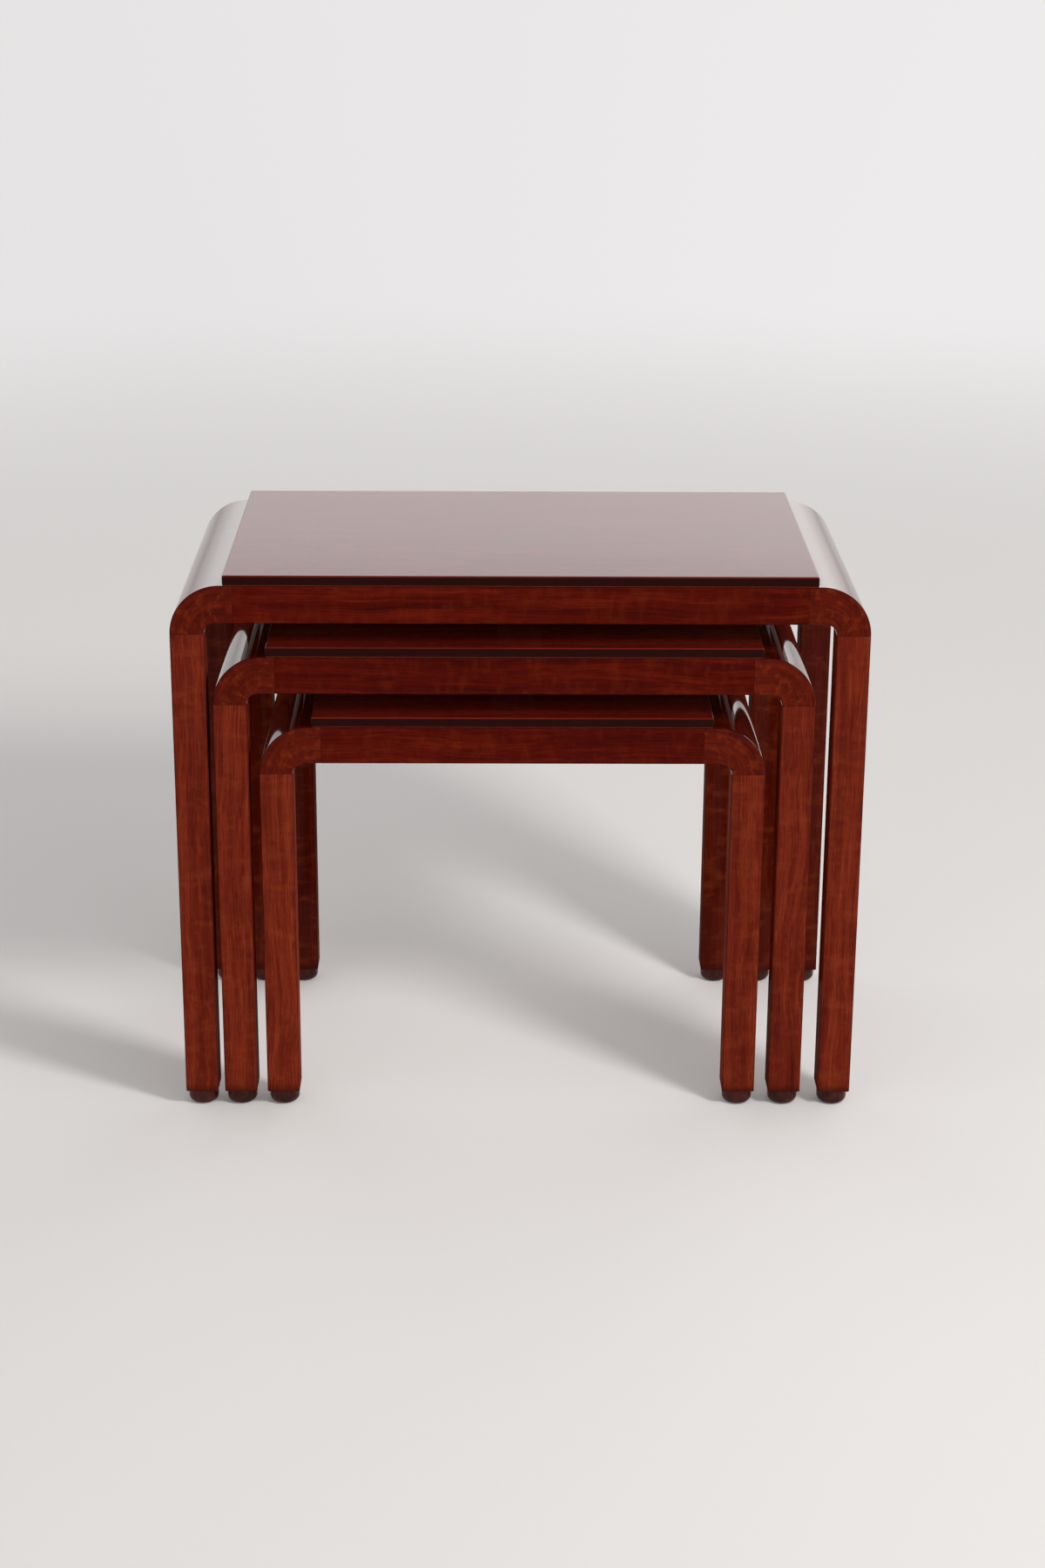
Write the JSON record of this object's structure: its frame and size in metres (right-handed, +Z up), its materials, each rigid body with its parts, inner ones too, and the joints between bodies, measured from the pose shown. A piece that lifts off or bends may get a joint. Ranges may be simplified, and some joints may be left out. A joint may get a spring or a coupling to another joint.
{
  "type": "nesting tables",
  "caption": "Nest of low tables with raised flat tops, quarter-round shoulders and square legs on domed glides, each sliding forward out of the larger one around it.",
  "frame": {"origin": "on the floor under the middle of the outer table, at the bottom centre of the nested set", "axes": "+Z up; +X along the tables' length, to the right as seen from the front; the front faces look along -Y, and the tables slide out along -Y"},
  "size_m": [0.6, 0.308, 0.496],
  "materials": {
    "panel_veneer": "dark red mahogany veneer, grain along the panel, high gloss lacquer",
    "shoulder_veneer": "dark red mahogany with curly figure at the ends, high gloss lacquer",
    "rail_veneer": "dark red mahogany, grain along the rail, high gloss lacquer",
    "leg_veneer": "dark red mahogany, grain up the leg, high gloss lacquer",
    "inner_wood": "planed beech, unfinished",
    "dowel_wood": "fluted beech dowel, unfinished",
    "screw_steel": "bright zinc-plated steel",
    "glide_plastic": "dark brown polished plastic"
  },
  "bodies": {
    "outer_table": {"outer_top_panel": "panel_veneer", "outer_shoulder_left": "shoulder_veneer", "outer_shoulder_right": "shoulder_veneer", "outer_rail_front": "rail_veneer", "outer_rail_rear": "rail_veneer", "outer_leg_front_left": "leg_veneer", "outer_leg_front_right": "leg_veneer", "outer_leg_rear_left": "leg_veneer", "outer_leg_rear_right": "leg_veneer", "outer_glide_front_left": "glide_plastic", "outer_glide_front_right": "glide_plastic", "outer_glide_rear_left": "glide_plastic", "outer_glide_rear_right": "glide_plastic", "outer_centre_batten": "inner_wood", "outer_corner_blocks": "inner_wood", "outer_leg_dowels": "dowel_wood", "outer_rail_dowels": "dowel_wood", "outer_panel_screws": "screw_steel", "outer_glide_screws": "screw_steel"},
    "middle_table": {"middle_top_panel": "panel_veneer", "middle_shoulder_left": "shoulder_veneer", "middle_shoulder_right": "shoulder_veneer", "middle_rail_front": "rail_veneer", "middle_rail_rear": "rail_veneer", "middle_leg_front_left": "leg_veneer", "middle_leg_front_right": "leg_veneer", "middle_leg_rear_left": "leg_veneer", "middle_leg_rear_right": "leg_veneer", "middle_glide_front_left": "glide_plastic", "middle_glide_front_right": "glide_plastic", "middle_glide_rear_left": "glide_plastic", "middle_glide_rear_right": "glide_plastic", "middle_centre_batten": "inner_wood", "middle_corner_blocks": "inner_wood", "middle_leg_dowels": "dowel_wood", "middle_rail_dowels": "dowel_wood", "middle_panel_screws": "screw_steel", "middle_glide_screws": "screw_steel"},
    "inner_table": {"inner_top_panel": "panel_veneer", "inner_shoulder_left": "shoulder_veneer", "inner_shoulder_right": "shoulder_veneer", "inner_rail_front": "rail_veneer", "inner_rail_rear": "rail_veneer", "inner_leg_front_left": "leg_veneer", "inner_leg_front_right": "leg_veneer", "inner_leg_rear_left": "leg_veneer", "inner_leg_rear_right": "leg_veneer", "inner_glide_front_left": "glide_plastic", "inner_glide_front_right": "glide_plastic", "inner_glide_rear_left": "glide_plastic", "inner_glide_rear_right": "glide_plastic", "inner_centre_batten": "inner_wood", "inner_corner_blocks": "inner_wood", "inner_leg_dowels": "dowel_wood", "inner_rail_dowels": "dowel_wood", "inner_panel_screws": "screw_steel", "inner_glide_screws": "screw_steel"}
  },
  "joints": [
    {"name": "middle_pull", "type": "slide", "parent": "outer_table", "child": "middle_table", "axis": [0, -1, 0], "range_m": [0, 0.36]},
    {"name": "inner_pull", "type": "slide", "parent": "middle_table", "child": "inner_table", "axis": [0, -1, 0], "range_m": [0, 0.36]}
  ]
}
